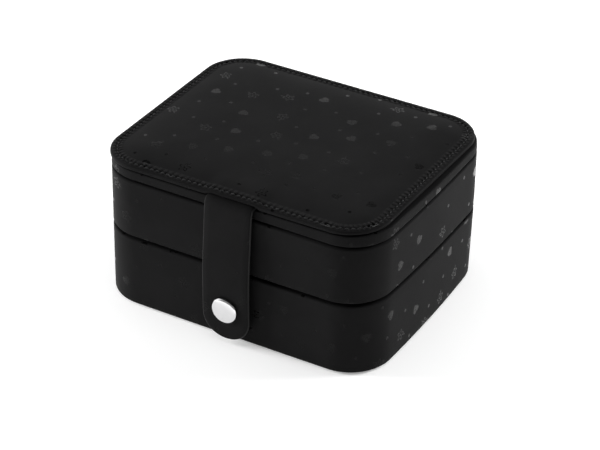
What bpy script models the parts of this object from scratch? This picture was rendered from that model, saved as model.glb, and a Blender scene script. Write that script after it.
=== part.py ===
"""A two-layer travel jewelry box: a lower tray, an upper tray hinged to it, and a padded lid with a strap.

Metres, +Z up. The origin is the middle of the base. The front is at -Y and the hinge strip at +Y.
Every case is a stiff shell in a leather-look cover with a velvet lining, kept CLEARANCE apart.
"""

from math import cos, pi, radians, sin

import bmesh
import bpy

# Driving dimensions
WIDTH = 0.1515
DEPTH = 0.126
CORNER_RADIUS = 0.022
LOWER_TOP = 0.0385
UPPER_TOP = 0.0708
LID_TOP = 0.0762
PANEL_TOP = 0.0790
CROWN = 0.0023
CASE_GAP = 0.0006
EDGE = 0.0012
LID_EDGE = 0.0008

# The padded panel is sewn on by hand, a little left and forward of the lid's middle
PANEL_CENTRE = (-0.0009, -0.0004)
PANEL_INSET = 0.0004
PANEL_EDGE = 0.0004
SEAM_INSET = 0.0035
CROWN_INSETS = [SEAM_INSET, 0.0055, 0.0080, 0.0110, 0.0145, 0.0180]
FOAM_INSET = 0.0080

# Sheet and board thicknesses
CLEARANCE = 0.0003
COVER = 0.0008
BOARD = 0.0025
LINING = 0.0008
FLANGE = 0.0090
BASE_REVEAL = 0.0004

# Dividers and ring rolls
DIVIDER = 0.0030
DIVIDER_RADIUS = 0.0012
DIVIDER_DROP = 0.0040
ROLL_COUNT = 7
ROLL_WIDTH = 0.0113
ROLL_HEIGHT = 0.0215
ROLL_EDGE = 0.0012
ROLL_END_SHRINK = 0.86
RING_ZONE = 0.0690
LOWER_SPLIT_X = -0.0050
LOWER_CROSS_Y = 0.0200

# Lid insides
LID_BOARD = 0.0016
MIRROR_SIZE = (0.100, 0.078)
MIRROR_RADIUS = 0.008
MIRROR_THICKNESS = 0.0011
FRAME_BORDER = 0.0040
FRAME_LIP = 0.0020
FRAME_DEPTH = 0.0008
FRAME_EDGE = 0.0005

# Hinge strip
STRIP_WIDTH = 0.100
STRIP = 0.0010
LOWER_LEAF_LENGTH = 0.0180

# Strap, which lies a little right of the middle, and its flat stretch behind the snap
STRAP_X = 0.0015
STRAP_WIDTH = 0.0250
STRAP_SHEET = 0.0009
STRAP_BACKING = 0.0007
STRAP_TIP = 0.0028
STRAP_ROOT_STAND = 0.0010
STRAP_BOW = 0.0026
STRAP_FLAT = 0.0160
ANCHOR_LENGTH = 0.0220
ANCHOR_OVERHANG = 0.0002

# Snap button: cap and socket on the strap, stud and post on the lower tray
SNAP_HEIGHT = 0.0196
CAP_RADIUS = 0.0068
CAP_RISE = 0.0022
CAP_EDGE = 0.0006
SHANK_RADIUS = 0.0016
SHANK_END = 0.0007
SOCKET_DEPTH = 0.0020
STUD_RADIUS = 0.0050
STUD_PLATE = 0.0005
NUB_RADIUS = 0.0026
NUB_EDGE = 0.0004
NUB_LENGTH = 0.0010
POST_RADIUS = 0.0018
POST_HEAD_RADIUS = 0.0045
POST_HEAD = 0.0004
POST_RECESS = 0.0009
CUT_OVERRUN = 0.0002

CORNER_STEPS = 8
TURN_STEPS = 20
CAP_STEPS = 32

FRONT = -DEPTH / 2
BACK = DEPTH / 2
UPPER_BOTTOM = LOWER_TOP + CASE_GAP
LID_BOTTOM = UPPER_TOP + CASE_GAP
HINGE_Y = BACK + CLEARANCE + STRIP
STRAP_PIVOT = (STRAP_X, FRONT - 0.0015, LID_TOP + CLEARANCE)
WALL = COVER + BOARD + LINING + 2 * CLEARANCE
ROOM_X = WIDTH / 2 - WALL - CLEARANCE
ROOM_Y = DEPTH / 2 - WALL - CLEARANCE
FLOOR_STACK = COVER + BOARD + LINING + 3 * CLEARANCE


# Materials


def finish(name, color, roughness, metallic=0.0):
    """A Principled material, made once for each name."""
    material = bpy.data.materials.get(name) or bpy.data.materials.new(name)
    material.use_nodes = True
    shader = material.node_tree.nodes["Principled BSDF"]
    shader.inputs["Base Color"].default_value = (*color, 1)
    shader.inputs["Roughness"].default_value = roughness
    shader.inputs["Metallic"].default_value = metallic
    material.diffuse_color = (*color, 1)
    return material


def pu_leather():
    return finish("pu_leather", (0.014, 0.014, 0.015), 0.55)


def velvet():
    return finish("velvet", (0.070, 0.068, 0.072), 0.95)


def shell_board():
    return finish("shell_board", (0.16, 0.13, 0.10), 0.80)


def foam():
    return finish("foam", (0.75, 0.73, 0.66), 0.90)


def silvered_glass():
    return finish("silvered_glass", (0.90, 0.91, 0.92), 0.03, 1.0)


def chrome():
    return finish("chrome", (0.80, 0.80, 0.81), 0.12, 1.0)


# Shapes


def rounded_rectangle(width, depth, radius, inset=0.0, centre=(0.0, 0.0)):
    """Anticlockwise (x, y) points of a rounded rectangle whose edge has moved in by inset."""
    radius -= inset
    points = []
    for quarter, (side_x, side_y) in enumerate([(1, 1), (-1, 1), (-1, -1), (1, -1)]):
        centre_x = centre[0] + side_x * (width / 2 - inset - radius)
        centre_y = centre[1] + side_y * (depth / 2 - inset - radius)
        for step in range(CORNER_STEPS + 1):
            angle = (quarter + step / CORNER_STEPS) * pi / 2
            points.append((centre_x + radius * cos(angle), centre_y + radius * sin(angle)))
    return points


def skin(name, loops, material, closed_ring=False):
    """One closed solid skinned over loops of equal length: capped at both ends, or joined end to start."""
    mesh = bmesh.new()
    rows = [[mesh.verts.new(point) for point in loop] for loop in loops]
    pairs = list(zip(rows, rows[1:]))
    if closed_ring:
        pairs.append((rows[-1], rows[0]))
    else:
        mesh.faces.new(reversed(rows[0]))
        mesh.faces.new(rows[-1])
    for low, high in pairs:
        for i in range(len(low)):
            j = (i + 1) % len(low)
            mesh.faces.new((low[i], low[j], high[j], high[i]))
    bmesh.ops.recalc_face_normals(mesh, faces=mesh.faces)
    data = bpy.data.meshes.new(name)
    mesh.to_mesh(data)
    mesh.free()
    data.shade_smooth()
    data.set_sharp_from_angle(angle=radians(35))
    data.materials.append(material)
    made = bpy.data.objects.new(name, data)
    bpy.context.scene.collection.objects.link(made)
    return made


def case_loops(profile, centre=(0.0, 0.0)):
    """Loops of the case's outline at each (inset, z) of the profile."""
    return [
        [(x, y, z) for x, y in rounded_rectangle(WIDTH, DEPTH, CORNER_RADIUS, inset, centre)]
        for inset, z in profile
    ]


def eased_edge(z, towards, edge):
    """Points that round the outer edge at height z. towards is 1 for a bottom edge and -1 for a top one."""
    return [(edge * (1 - sin(a)), z + towards * edge * (1 - cos(a))) for a in (0, pi / 4, pi / 2)]


def turned(name, profile, material, closed_ring=False, steps=TURN_STEPS):
    """A round piece on the snap's axis, along Y, from (radius, y) points."""
    loops = []
    for radius, y in profile:
        angles = [2 * pi * step / steps for step in range(steps)]
        loops.append([(STRAP_X + radius * cos(a), y, SNAP_HEIGHT + radius * sin(a)) for a in angles])
    return skin(name, loops, material, closed_ring)


def block(name, low, high, material, bevel=0.0):
    """A box between two corners, with rounded edges where bevel is set."""
    corners = [(low[0], low[1]), (high[0], low[1]), (high[0], high[1]), (low[0], high[1])]
    made = skin(name, [[(x, y, z) for x, y in corners] for z in (low[2], high[2])], material)
    if bevel:
        rounding = made.modifiers.new("rounding", "BEVEL")
        rounding.width = bevel
        rounding.segments = 2
    return made


def cut(target, cutter):
    """Takes the cutter's shape out of the target, and keeps the cutter out of the render."""
    cutter.hide_render = True
    cutter.display_type = "WIRE"
    difference = target.modifiers.new(cutter.name, "BOOLEAN")
    difference.operation = "DIFFERENCE"
    difference.solver = "EXACT"
    difference.object = cutter


def bore(target, radius, start_y, end_y):
    """Cuts a round hole on the snap's axis through the target."""
    name = f"{target.name}_cutter_{radius * 1e4:.0f}"
    cut(target, turned(name, [(radius, start_y), (radius, end_y)], None))


# Bodies: an empty on each joint's axis carries what turns about it


def pivot(name, location, parent=None):
    made = bpy.data.objects.new(name, None)
    made.empty_display_size = 0.01
    made.location = location
    bpy.context.scene.collection.objects.link(made)
    bpy.context.view_layer.update()
    if parent:
        attach(parent, made)
    return made


def attach(parent, *children):
    """Parents the children where they are."""
    bpy.context.view_layer.update()
    for child in children:
        child.parent = parent
        child.matrix_parent_inverse = parent.matrix_world.inverted()
    bpy.context.view_layer.update()


# The two trays


def tray(prefix, bottom, top):
    """The cover, shell and lining of one tray, open at the top."""
    flange_z = bottom + COVER
    cover = skin(
        f"{prefix}_cover",
        case_loops(
            [
                *eased_edge(bottom, 1, EDGE),
                *reversed(eased_edge(top, -1, EDGE)),
                (WALL, top),
                (WALL, top - COVER),
                (COVER, top - COVER),
                (COVER, flange_z),
                (FLANGE, flange_z),
                (FLANGE, bottom),
            ]
        ),
        pu_leather(),
        closed_ring=True,
    )
    inner_top = top - COVER - CLEARANCE
    shell_out = COVER + CLEARANCE
    shell_floor = flange_z + CLEARANCE
    shell = skin(
        f"{prefix}_shell",
        case_loops(
            [
                (shell_out, shell_floor),
                (shell_out, inner_top),
                (shell_out + BOARD, inner_top),
                (shell_out + BOARD, shell_floor + BOARD),
            ]
        ),
        shell_board(),
    )
    lining_out = shell_out + BOARD + CLEARANCE
    lining_floor = shell_floor + BOARD + CLEARANCE
    lining = skin(
        f"{prefix}_lining",
        case_loops(
            [
                (lining_out, lining_floor),
                (lining_out, inner_top),
                (lining_out + LINING, inner_top),
                (lining_out + LINING, lining_floor + LINING),
            ]
        ),
        velvet(),
    )
    return [cover, shell, lining]


def underside(name, low, high):
    """The flat sheet inside the cover's turned-in flange."""
    return skin(name, case_loops([(FLANGE + CLEARANCE, low), (FLANGE + CLEARANCE, high)]), velvet())


def divider(name, along, at, start, end, floor, top):
    """A velvet-wrapped wall along X or Y, centred on at in the other direction."""
    half = DIVIDER / 2
    if along == "X":
        low, high = (start, at - half, floor), (end, at + half, top)
    else:
        low, high = (at - half, start, floor), (at + half, end, top)
    return block(name, low, high, velvet(), DIVIDER_RADIUS)


def ring_roll(name, y, floor):
    """A velvet roll along X with a flat foot and a half-round top, rounded off at both ends."""
    half = ROLL_WIDTH / 2
    middle = floor + ROLL_HEIGHT - half
    outline = [(half - ROLL_EDGE, floor), (half, floor + ROLL_EDGE)]
    outline += [(half * cos(a), middle + half * sin(a)) for a in [pi * s / 8 for s in range(9)]]
    outline += [(-half, floor + ROLL_EDGE), (ROLL_EDGE - half, floor)]
    length = RING_ZONE / 2 - DIVIDER / 2 - CLEARANCE
    centre_z = floor + ROLL_HEIGHT / 2
    straight = length - ROLL_EDGE
    ends = [(-length, ROLL_END_SHRINK), (-straight, 1), (straight, 1), (length, ROLL_END_SHRINK)]
    loops = []
    for x, shrink in ends:
        loops.append([(x, y + dy * shrink, centre_z + (z - centre_z) * shrink) for dy, z in outline])
    return skin(name, loops, velvet())


def lower_fittings():
    floor = BASE_REVEAL + FLOOR_STACK
    top = LOWER_TOP - DIVIDER_DROP
    right = LOWER_SPLIT_X + DIVIDER / 2 + CLEARANCE
    return [
        divider("lower_divider_long", "Y", LOWER_SPLIT_X, -ROOM_Y, ROOM_Y, floor, top),
        divider("lower_divider_front", "X", -LOWER_CROSS_Y, right, ROOM_X, floor, top),
        divider("lower_divider_back", "X", LOWER_CROSS_Y, right, ROOM_X, floor, top),
    ]


def upper_fittings():
    floor = UPPER_BOTTOM + FLOOR_STACK
    top = UPPER_TOP - DIVIDER_DROP
    side = RING_ZONE / 2
    inner = side - DIVIDER / 2 - CLEARANCE
    outer = side + DIVIDER / 2 + CLEARANCE
    pitch = ROLL_WIDTH + CLEARANCE
    rolls_end = -ROOM_Y + ROLL_COUNT * pitch
    made = [
        divider("upper_divider_left", "Y", -side, -ROOM_Y, ROOM_Y, floor, top),
        divider("upper_divider_right", "Y", side, -ROOM_Y, ROOM_Y, floor, top),
        divider("upper_divider_centre", "X", rolls_end + DIVIDER / 2, -inner, inner, floor, top),
        divider("upper_divider_left_cross", "X", 0.0, -ROOM_X, -outer, floor, top),
        divider("upper_divider_right_cross", "X", 0.0, outer, ROOM_X, floor, top),
    ]
    for i in range(ROLL_COUNT):
        made.append(ring_roll(f"ring_roll_{i + 1}", -ROOM_Y + (i + 0.5) * pitch, floor))
    return made


# The lid


def crown_height(inset):
    """How far the padded panel has swelled at this distance in from the case's outline."""
    share = min(max((inset - SEAM_INSET) / (CROWN_INSETS[-1] - SEAM_INSET), 0), 1)
    return CROWN * sin(share * pi / 2)


def lid_casing():
    """The lid is a shallow tray upside down: cover, stiff shell and velvet lining."""
    cover = skin(
        "lid_cover",
        case_loops(
            [
                *eased_edge(LID_BOTTOM, 1, LID_EDGE),
                *reversed(eased_edge(LID_TOP, -1, LID_EDGE)),
                (FLANGE, LID_TOP),
                (FLANGE, LID_TOP - COVER),
                (COVER, LID_TOP - COVER),
                (COVER, LID_BOTTOM + COVER),
                (WALL, LID_BOTTOM + COVER),
                (WALL, LID_BOTTOM),
            ]
        ),
        pu_leather(),
        closed_ring=True,
    )
    shell_top = LID_TOP - COVER - CLEARANCE
    shell_bottom = LID_BOTTOM + COVER + CLEARANCE
    ceiling = shell_top - LID_BOARD
    shell_out = COVER + CLEARANCE
    shell = skin(
        "lid_shell",
        case_loops(
            [
                (shell_out + BOARD, ceiling),
                (shell_out + BOARD, shell_bottom),
                (shell_out, shell_bottom),
                (shell_out, shell_top),
            ]
        ),
        shell_board(),
    )
    lining_out = shell_out + BOARD + CLEARANCE
    lining_z = (ceiling - CLEARANCE - LINING, ceiling - CLEARANCE)
    lining = skin("lid_lining", case_loops([(lining_out, z) for z in lining_z]), velvet())
    return [cover, shell, lining], lining_z[0]


def lid_mirror(ceiling):
    """The mirror under the lid's lining, in a frame whose lip holds its edge."""
    mirror_top = ceiling - CLEARANCE
    mirror_low = mirror_top - MIRROR_THICKNESS
    lip_top = mirror_low - CLEARANCE
    lip_low = lip_top - FRAME_DEPTH

    def loop(inset, z):
        return [(x, y, z) for x, y in rounded_rectangle(*MIRROR_SIZE, MIRROR_RADIUS, inset)]

    mirror = skin("mirror", [loop(0, mirror_low), loop(0, mirror_top)], silvered_glass())
    frame_profile = [
        (FRAME_EDGE - FRAME_BORDER, lip_low),
        (-FRAME_BORDER, lip_low + FRAME_EDGE),
        (-FRAME_BORDER, mirror_top),
        (-CLEARANCE, mirror_top),
        (-CLEARANCE, lip_top),
        (FRAME_LIP, lip_top),
        (FRAME_LIP, lip_low + FRAME_EDGE),
        (FRAME_LIP - FRAME_EDGE, lip_low),
    ]
    frame = skin("mirror_frame", [loop(*p) for p in frame_profile], velvet(), closed_ring=True)
    return [mirror, frame]


def lid_panel():
    """The padded panel on top: backing with a slot for the strap's root, foam, and the sewn sheet."""
    backing_low = LID_TOP + CASE_GAP
    sheet_low = backing_low + COVER + CLEARANCE
    sheet = PANEL_TOP - sheet_low
    slot_half = STRAP_WIDTH / 2 + CLEARANCE
    backing = skin(
        "lid_panel_backing",
        case_loops([(PANEL_INSET + PANEL_EDGE, z) for z in (backing_low, backing_low + COVER)], PANEL_CENTRE),
        pu_leather(),
    )
    slot = block(
        "strap_slot_cutter",
        (STRAP_X - slot_half, FRONT - FLANGE, LID_TOP),
        (STRAP_X + slot_half, FRONT + ANCHOR_LENGTH + CLEARANCE, sheet_low + COVER),
        None,
    )
    cut(backing, slot)
    insets = [PANEL_INSET + PANEL_EDGE, *CROWN_INSETS]
    under = [(d, sheet_low + crown_height(d)) for d in reversed(insets)]
    side = [(PANEL_INSET, z) for z in (sheet_low + PANEL_EDGE, PANEL_TOP - PANEL_EDGE)]
    over = [(d, sheet_low + sheet + crown_height(d)) for d in insets]
    top_panel = skin("lid_top_panel", case_loops(under + side + over, PANEL_CENTRE), pu_leather())
    pad = [(FOAM_INSET, sheet_low)]
    pad += [(d, sheet_low + crown_height(d) - CLEARANCE) for d in insets if d >= FOAM_INSET]
    padding = skin("lid_foam", case_loops(pad, PANEL_CENTRE), foam())
    return [backing, top_panel, padding]


# The strap and its snap button


def strap_drop():
    """Heights down the strap, from its root to where its round end starts."""
    root = STRAP_PIVOT[2] - 2 * CLEARANCE
    end = STRAP_TIP + STRAP_WIDTH / 2
    return root, end


def strap_face(z):
    """Y of the strap's inner face: it leaves the rim and bows clear of the front, flat where the snap is."""
    root, _ = strap_drop()
    flat_from = SNAP_HEIGHT + STRAP_FLAT
    share = min(max((root - z) / (root - flat_from), 0), 1)
    return FRONT - STRAP_ROOT_STAND - STRAP_BOW * sin(share * pi / 2)


def strap_sheet(name, inner, thickness):
    """One layer of the strap, inner metres outside the strap's inner face."""
    root, end = strap_drop()
    half = STRAP_WIDTH / 2
    rows = [(half * sin(a), end - half * cos(a)) for a in [radians(d) for d in (14, 32, 50, 70)]]
    steps = 12
    rows += [(half, end + (root - end) * step / steps) for step in range(steps + 1)]
    loops = []
    for reach, z in rows:
        back = strap_face(z) - inner
        front = back - thickness
        left, right = STRAP_X - reach, STRAP_X + reach
        loops.append([(left, front, z), (right, front, z), (right, back, z), (left, back, z)])
    return skin(name, loops, pu_leather())


def strap():
    """Two glued layers, riveted between the snap's cap and its socket."""
    socket_seat = strap_face(SNAP_HEIGHT)
    lining = strap_sheet("strap_lining", 0, STRAP_BACKING)
    outer = strap_sheet("strap_outer", STRAP_BACKING + CLEARANCE, STRAP_SHEET)
    face = socket_seat - STRAP_BACKING - CLEARANCE - STRAP_SHEET
    hole = SHANK_RADIUS + CLEARANCE
    bore(lining, hole, socket_seat + CAP_RISE, face - CAP_RISE)
    bore(outer, hole, socket_seat + CAP_RISE, face - CAP_RISE)
    cap_back = face - CLEARANCE
    dome_y = cap_back - CAP_EDGE
    cap = [(SHANK_RADIUS, socket_seat + SHANK_END), (SHANK_RADIUS, cap_back)]
    cap += [(CAP_RADIUS - CAP_EDGE, cap_back)]
    cap += [
        (CAP_RADIUS * cos(a), dome_y - (CAP_RISE - CAP_EDGE) * sin(a))
        for a in [radians(d) for d in (0, 22, 42, 60, 76)]
    ]
    plate = socket_seat + CLEARANCE
    mouth = NUB_RADIUS + CLEARANCE
    socket = [
        (STUD_RADIUS, plate),
        (STUD_RADIUS, plate + SOCKET_DEPTH),
        (mouth, plate + SOCKET_DEPTH),
        (mouth, plate + STUD_PLATE),
        (hole, plate + STUD_PLATE),
        (hole, plate),
    ]
    return [
        outer,
        lining,
        turned("snap_cap", cap, chrome(), steps=CAP_STEPS),
        turned("snap_socket", socket, chrome(), closed_ring=True),
    ]


def snap_stud(lower_cover, lower_shell):
    """The stud outside the lower tray's front, and the post riveted through the wall into it."""
    base = FRONT - CLEARANCE
    wall_in = FRONT + COVER + CLEARANCE + BOARD
    bore_radius = POST_RADIUS + CLEARANCE
    nub_end = strap_face(SNAP_HEIGHT) + CLEARANCE + NUB_LENGTH
    stud = [
        (bore_radius, nub_end + NUB_EDGE),
        (bore_radius, base),
        (STUD_RADIUS, base),
        (STUD_RADIUS, base - STUD_PLATE),
        (NUB_RADIUS, base - STUD_PLATE),
        (NUB_RADIUS, nub_end + NUB_EDGE),
        (NUB_RADIUS - NUB_EDGE, nub_end),
    ]
    head = wall_in - CLEARANCE / 2
    post = [
        (POST_HEAD_RADIUS, head),
        (POST_HEAD_RADIUS, head - POST_HEAD),
        (POST_RADIUS, head - POST_HEAD),
        (POST_RADIUS, base - STUD_PLATE),
    ]
    bore(lower_cover, bore_radius, FRONT - EDGE, FRONT + COVER + CUT_OVERRUN)
    bore(lower_shell, bore_radius, FRONT, wall_in + CUT_OVERRUN)
    bore(lower_shell, POST_HEAD_RADIUS + CLEARANCE, wall_in - POST_RECESS, wall_in + CUT_OVERRUN)
    return [turned("snap_stud", stud, chrome()), turned("snap_post", post, chrome())]


def strap_anchor():
    """The strap's root, glued between the lid's rim and the panel."""
    half = STRAP_WIDTH / 2
    low = LID_TOP + CLEARANCE
    high = LID_TOP + CASE_GAP + COVER
    return block(
        "strap_anchor",
        (STRAP_X - half, FRONT - ANCHOR_OVERHANG, low),
        (STRAP_X + half, FRONT + ANCHOR_LENGTH, high),
        pu_leather(),
    )


def hinge_leaf(name, low, high):
    """One body's part of the strip down the back."""
    start = BACK + CLEARANCE
    half = STRIP_WIDTH / 2
    return block(name, (-half, start, low), (half, start + STRIP, high), pu_leather())


def build():
    for old in list(bpy.data.objects):
        bpy.data.objects.remove(old)
    upper_pivot = pivot("upper_case_pivot", (0, HINGE_Y, LOWER_TOP + CASE_GAP / 2))
    lid_pivot = pivot("lid_pivot", (0, HINGE_Y, UPPER_TOP + CASE_GAP / 2), upper_pivot)
    strap_pivot = pivot("strap_pivot", STRAP_PIVOT, lid_pivot)

    lower_cover, lower_shell, _ = tray("lower", BASE_REVEAL, LOWER_TOP)
    underside("base_pad", 0.0, BASE_REVEAL + COVER)
    lower_fittings()
    snap_stud(lower_cover, lower_shell)
    hinge_leaf("lower_hinge_leaf", LOWER_TOP - LOWER_LEAF_LENGTH, LOWER_TOP - CLEARANCE)

    attach(upper_pivot, *tray("upper", UPPER_BOTTOM, UPPER_TOP))
    attach(upper_pivot, underside("upper_underside", UPPER_BOTTOM, UPPER_BOTTOM + COVER))
    attach(upper_pivot, *upper_fittings())
    leaf = hinge_leaf("upper_hinge_leaf", UPPER_BOTTOM + CLEARANCE, UPPER_TOP - CLEARANCE)
    attach(upper_pivot, leaf)

    casing, ceiling = lid_casing()
    attach(lid_pivot, *casing, *lid_mirror(ceiling), *lid_panel(), strap_anchor())
    attach(lid_pivot, hinge_leaf("lid_hinge_leaf", LID_BOTTOM + CLEARANCE, LID_TOP))
    attach(strap_pivot, *strap())


build()
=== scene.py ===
"""Looks of the two-layer travel jewelry box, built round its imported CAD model.

Metres, +Z up, front at -Y, hinge strip at +Y. The wraps are swept round one rounded-rectangle outline.
"""

import math

import bmesh
import bpy
import numpy as np
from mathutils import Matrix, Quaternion, Vector, noise


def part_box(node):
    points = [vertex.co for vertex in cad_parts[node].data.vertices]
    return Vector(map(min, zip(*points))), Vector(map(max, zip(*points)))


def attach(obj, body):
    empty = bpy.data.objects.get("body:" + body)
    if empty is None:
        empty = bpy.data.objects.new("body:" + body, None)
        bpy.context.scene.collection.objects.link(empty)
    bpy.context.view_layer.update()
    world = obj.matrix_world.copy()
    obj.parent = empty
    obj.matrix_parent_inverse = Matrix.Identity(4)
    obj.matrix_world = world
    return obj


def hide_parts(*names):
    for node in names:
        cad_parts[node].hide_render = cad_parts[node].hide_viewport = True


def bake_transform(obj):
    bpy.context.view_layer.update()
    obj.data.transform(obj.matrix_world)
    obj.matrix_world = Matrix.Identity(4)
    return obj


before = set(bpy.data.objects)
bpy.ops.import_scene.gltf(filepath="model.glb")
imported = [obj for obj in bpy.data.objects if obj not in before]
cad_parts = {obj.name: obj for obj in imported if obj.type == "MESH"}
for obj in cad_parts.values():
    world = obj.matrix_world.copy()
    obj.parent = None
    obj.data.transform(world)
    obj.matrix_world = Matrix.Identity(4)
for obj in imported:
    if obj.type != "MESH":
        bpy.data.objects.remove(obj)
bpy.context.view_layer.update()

MM = 0.001
CORNER_RADIUS = 22 * MM
# The thickness of the wraps, and how far in from the outline their turned-in ends reach.
COVER = 0.8 * MM
WALL = 4.7 * MM
FLANGE = 9 * MM
# The seam round the lid's panel: its distance in from the panel's edge, and the length of a stitch.
SEAM_INSET = 3.4 * MM
STITCH_PITCH = 3.0 * MM

low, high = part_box("upper_cover")
HALF_WIDTH = high.x
HALF_DEPTH = high.y
FRONT = -HALF_DEPTH
BACK = HALF_DEPTH
UPPER = (low.z, high.z)
LOWER = (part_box("lower_cover")[0].z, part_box("lower_cover")[1].z)
LID = (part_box("lid_cover")[0].z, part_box("lid_cover")[1].z)
PANEL_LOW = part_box("lid_panel_backing")[0].z
CROWN_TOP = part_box("lid_top_panel")[1].z
PANEL_EDGE = CROWN_TOP - 2.3 * MM


# ---------------------------------------------------------------- outline and meshes


def clamped(value):
    """The value kept between 0 and 1."""
    return min(max(value, 0), 1)


def eased(value):
    """The value kept between 0 and 1, leaving 0 and reaching 1 smoothly."""
    share = clamped(value)
    return share * share * (3 - 2 * share)


def stations():
    """The outline leftwards from the back's middle: corner centres, outward directions, lengths along."""
    span_x = HALF_WIDTH - CORNER_RADIUS
    span_y = HALF_DEPTH - CORNER_RADIUS
    corner_steps = 16
    straight_step = 3 * MM
    centres, normals = [], []

    def straight(start, end, normal):
        count = max(1, round((Vector(end) - Vector(start)).length / straight_step))
        for i in range(count):
            centres.append(Vector(start).lerp(Vector(end), i / count))
            normals.append(Vector(normal))

    def corner(centre, start_angle):
        for i in range(corner_steps):
            angle = math.radians(start_angle + 90 * i / corner_steps)
            centres.append(Vector(centre))
            normals.append(Vector((math.cos(angle), math.sin(angle))))

    straight((0, span_y), (-span_x, span_y), (0, 1))
    corner((-span_x, span_y), 90)
    straight((-span_x, span_y), (-span_x, -span_y), (-1, 0))
    corner((-span_x, -span_y), 180)
    straight((-span_x, -span_y), (span_x, -span_y), (0, -1))
    corner((span_x, -span_y), 270)
    straight((span_x, -span_y), (span_x, span_y), (1, 0))
    corner((span_x, span_y), 0)
    straight((span_x, span_y), (0, span_y), (0, 1))
    centres = np.array([tuple(c) for c in centres])
    normals = np.array([tuple(n) for n in normals])
    edge = centres + normals * CORNER_RADIUS
    steps = np.linalg.norm(np.roll(edge, -1, axis=0) - edge, axis=1)
    return centres, normals, np.concatenate([[0], np.cumsum(steps)])


CENTRES, NORMALS, ALONG = stations()
EDGE = CENTRES + NORMALS * CORNER_RADIUS
LEAST_RADIUS = 1.5 * MM
# How far the middles of the walls stand out, and how far from their middles they do.
BOW_RIGHT, BOW_LEFT, BOW_BACK, BOW_FRONT = 1.3 * MM, 1.0 * MM, 0.7 * MM, 0.2 * MM
SIDE_BOW_REACH = 50 * MM
FRONT_BOW_REACH = 1.25 * SIDE_BOW_REACH
# How far the right wall's foot leans out towards the front.
LOWER_SKEW = 0.9 * MM
# The dropped front right corner: how far it reaches along the walls, how far the rim's lower edge drops
# and its upper edge rises there, and how far down the upper tray the drop fades out.
SAG_REACH = 45 * MM
RIM_SAG = 0.85 * MM
RIM_RISE = 0.5 * MM
SAG_HEIGHT = 14 * MM
# Only the outer skin of a profile sags and waves. These are the insets where each has faded out, and
# how much less inset brings it in fully.
SAG_DEPTH, SAG_FADE = 2.2 * MM, 1.7 * MM
WAVE_DEPTH, WAVE_FADE = 2.6 * MM, 1.4 * MM
WAVE_LENGTH = 30 * MM


def loop(inset):
    """(x, y) points of the outline moved in by inset, an amount or one for each station."""
    inset = np.broadcast_to(np.asarray(inset, float), (len(CENTRES),))
    radius = np.maximum(CORNER_RADIUS - inset, LEAST_RADIUS)
    extra = np.maximum(inset - (CORNER_RADIUS - LEAST_RADIUS), 0)[:, None]
    spans = np.array([HALF_WIDTH - CORNER_RADIUS, HALF_DEPTH - CORNER_RADIUS])
    return CENTRES * (spans - extra) / spans + NORMALS * radius[:, None]


def bow(z):
    """How far the soft board walls stand out at each station, at a height."""
    across = np.cos(np.clip(EDGE[:, 1] / SIDE_BOW_REACH, -1, 1) * math.pi / 2)
    along = np.cos(np.clip(EDGE[:, 0] / FRONT_BOW_REACH, -1, 1) * math.pi / 2)
    nx, ny = NORMALS[:, 0], NORMALS[:, 1]
    out = across * (np.maximum(nx, 0) * BOW_RIGHT + np.maximum(-nx, 0) * BOW_LEFT)
    out = out + along * (np.maximum(ny, 0) * BOW_BACK + np.maximum(-ny, 0) * BOW_FRONT)
    lowness = clamped(1 - z / LOWER[1])
    skew = -np.clip(EDGE[:, 1] / (HALF_DEPTH - CORNER_RADIUS), -1, 1) * np.maximum(nx, 0)
    return out + skew * LOWER_SKEW * lowness


def sag_share():
    """Near 1 at the front right corner, where the lid has dropped a little, fading along the walls."""
    set_back = 0.3 * CORNER_RADIUS
    from_corner = EDGE - np.array([HALF_WIDTH - set_back, -HALF_DEPTH + set_back])
    return np.exp(-((np.linalg.norm(from_corner, axis=1) / SAG_REACH) ** 2))


SAG = sag_share()


def new_object(name, mesh, smooth_angle=40):
    """Links a finished bmesh as a smooth-shaded object."""
    data = bpy.data.meshes.new(name)
    mesh.to_mesh(data)
    mesh.free()
    data.shade_smooth()
    data.set_sharp_from_angle(angle=math.radians(smooth_angle))
    made = bpy.data.objects.new(name, data)
    bpy.context.scene.collection.objects.link(made)
    return made


def skinned(name, rows, us, vs, ring=False, smooth_angle=40):
    """A solid skinned over rows of points, with a UV map in metres: us along each row, one of vs for a row.

    The last row is joined to the first where ring is set, and otherwise both are closed by a face.
    """
    mesh = bmesh.new()
    uv = mesh.loops.layers.uv.new("sheet")
    verts = [[mesh.verts.new(point) for point in row] for row in rows]
    count = len(rows[0])
    for i in range(len(rows) if ring else len(rows) - 1):
        k = (i + 1) % len(rows)
        for j in range(count):
            m = (j + 1) % count
            face = mesh.faces.new((verts[i][j], verts[i][m], verts[k][m], verts[k][j]))
            corners = [(j, i), (j + 1, i), (j + 1, i + 1), (j, i + 1)]
            for corner, (across, along) in zip(face.loops, corners):
                corner[uv].uv = (us[across], vs[along])
    if not ring:
        for row in (verts[0], verts[-1]):
            face = mesh.faces.new(row)
            for corner in face.loops:
                corner[uv].uv = (corner.vert.co.x, corner.vert.co.y)
    bmesh.ops.recalc_face_normals(mesh, faces=mesh.faces)
    return new_object(name, mesh, smooth_angle)


def arc(centre, radius, start, end, steps):
    """Points of an arc in the (inset, z) plane, from one angle to another in degrees."""
    angles = [math.radians(start + (end - start) * i / steps) for i in range(steps + 1)]
    return [(centre[0] + radius * math.cos(a), centre[1] + radius * math.sin(a)) for a in angles]


def lengths(profile):
    """Length along the profile at each of its points."""
    steps = [math.dist(a, b) for a, b in zip(profile, profile[1:])]
    return [0.0, *np.cumsum(steps)]


def waviness(u, z, size, seed):
    """A smooth value of about -1 to 1 that varies over size metres."""
    return noise.noise(Vector((u / size, z / size, seed)))


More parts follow.
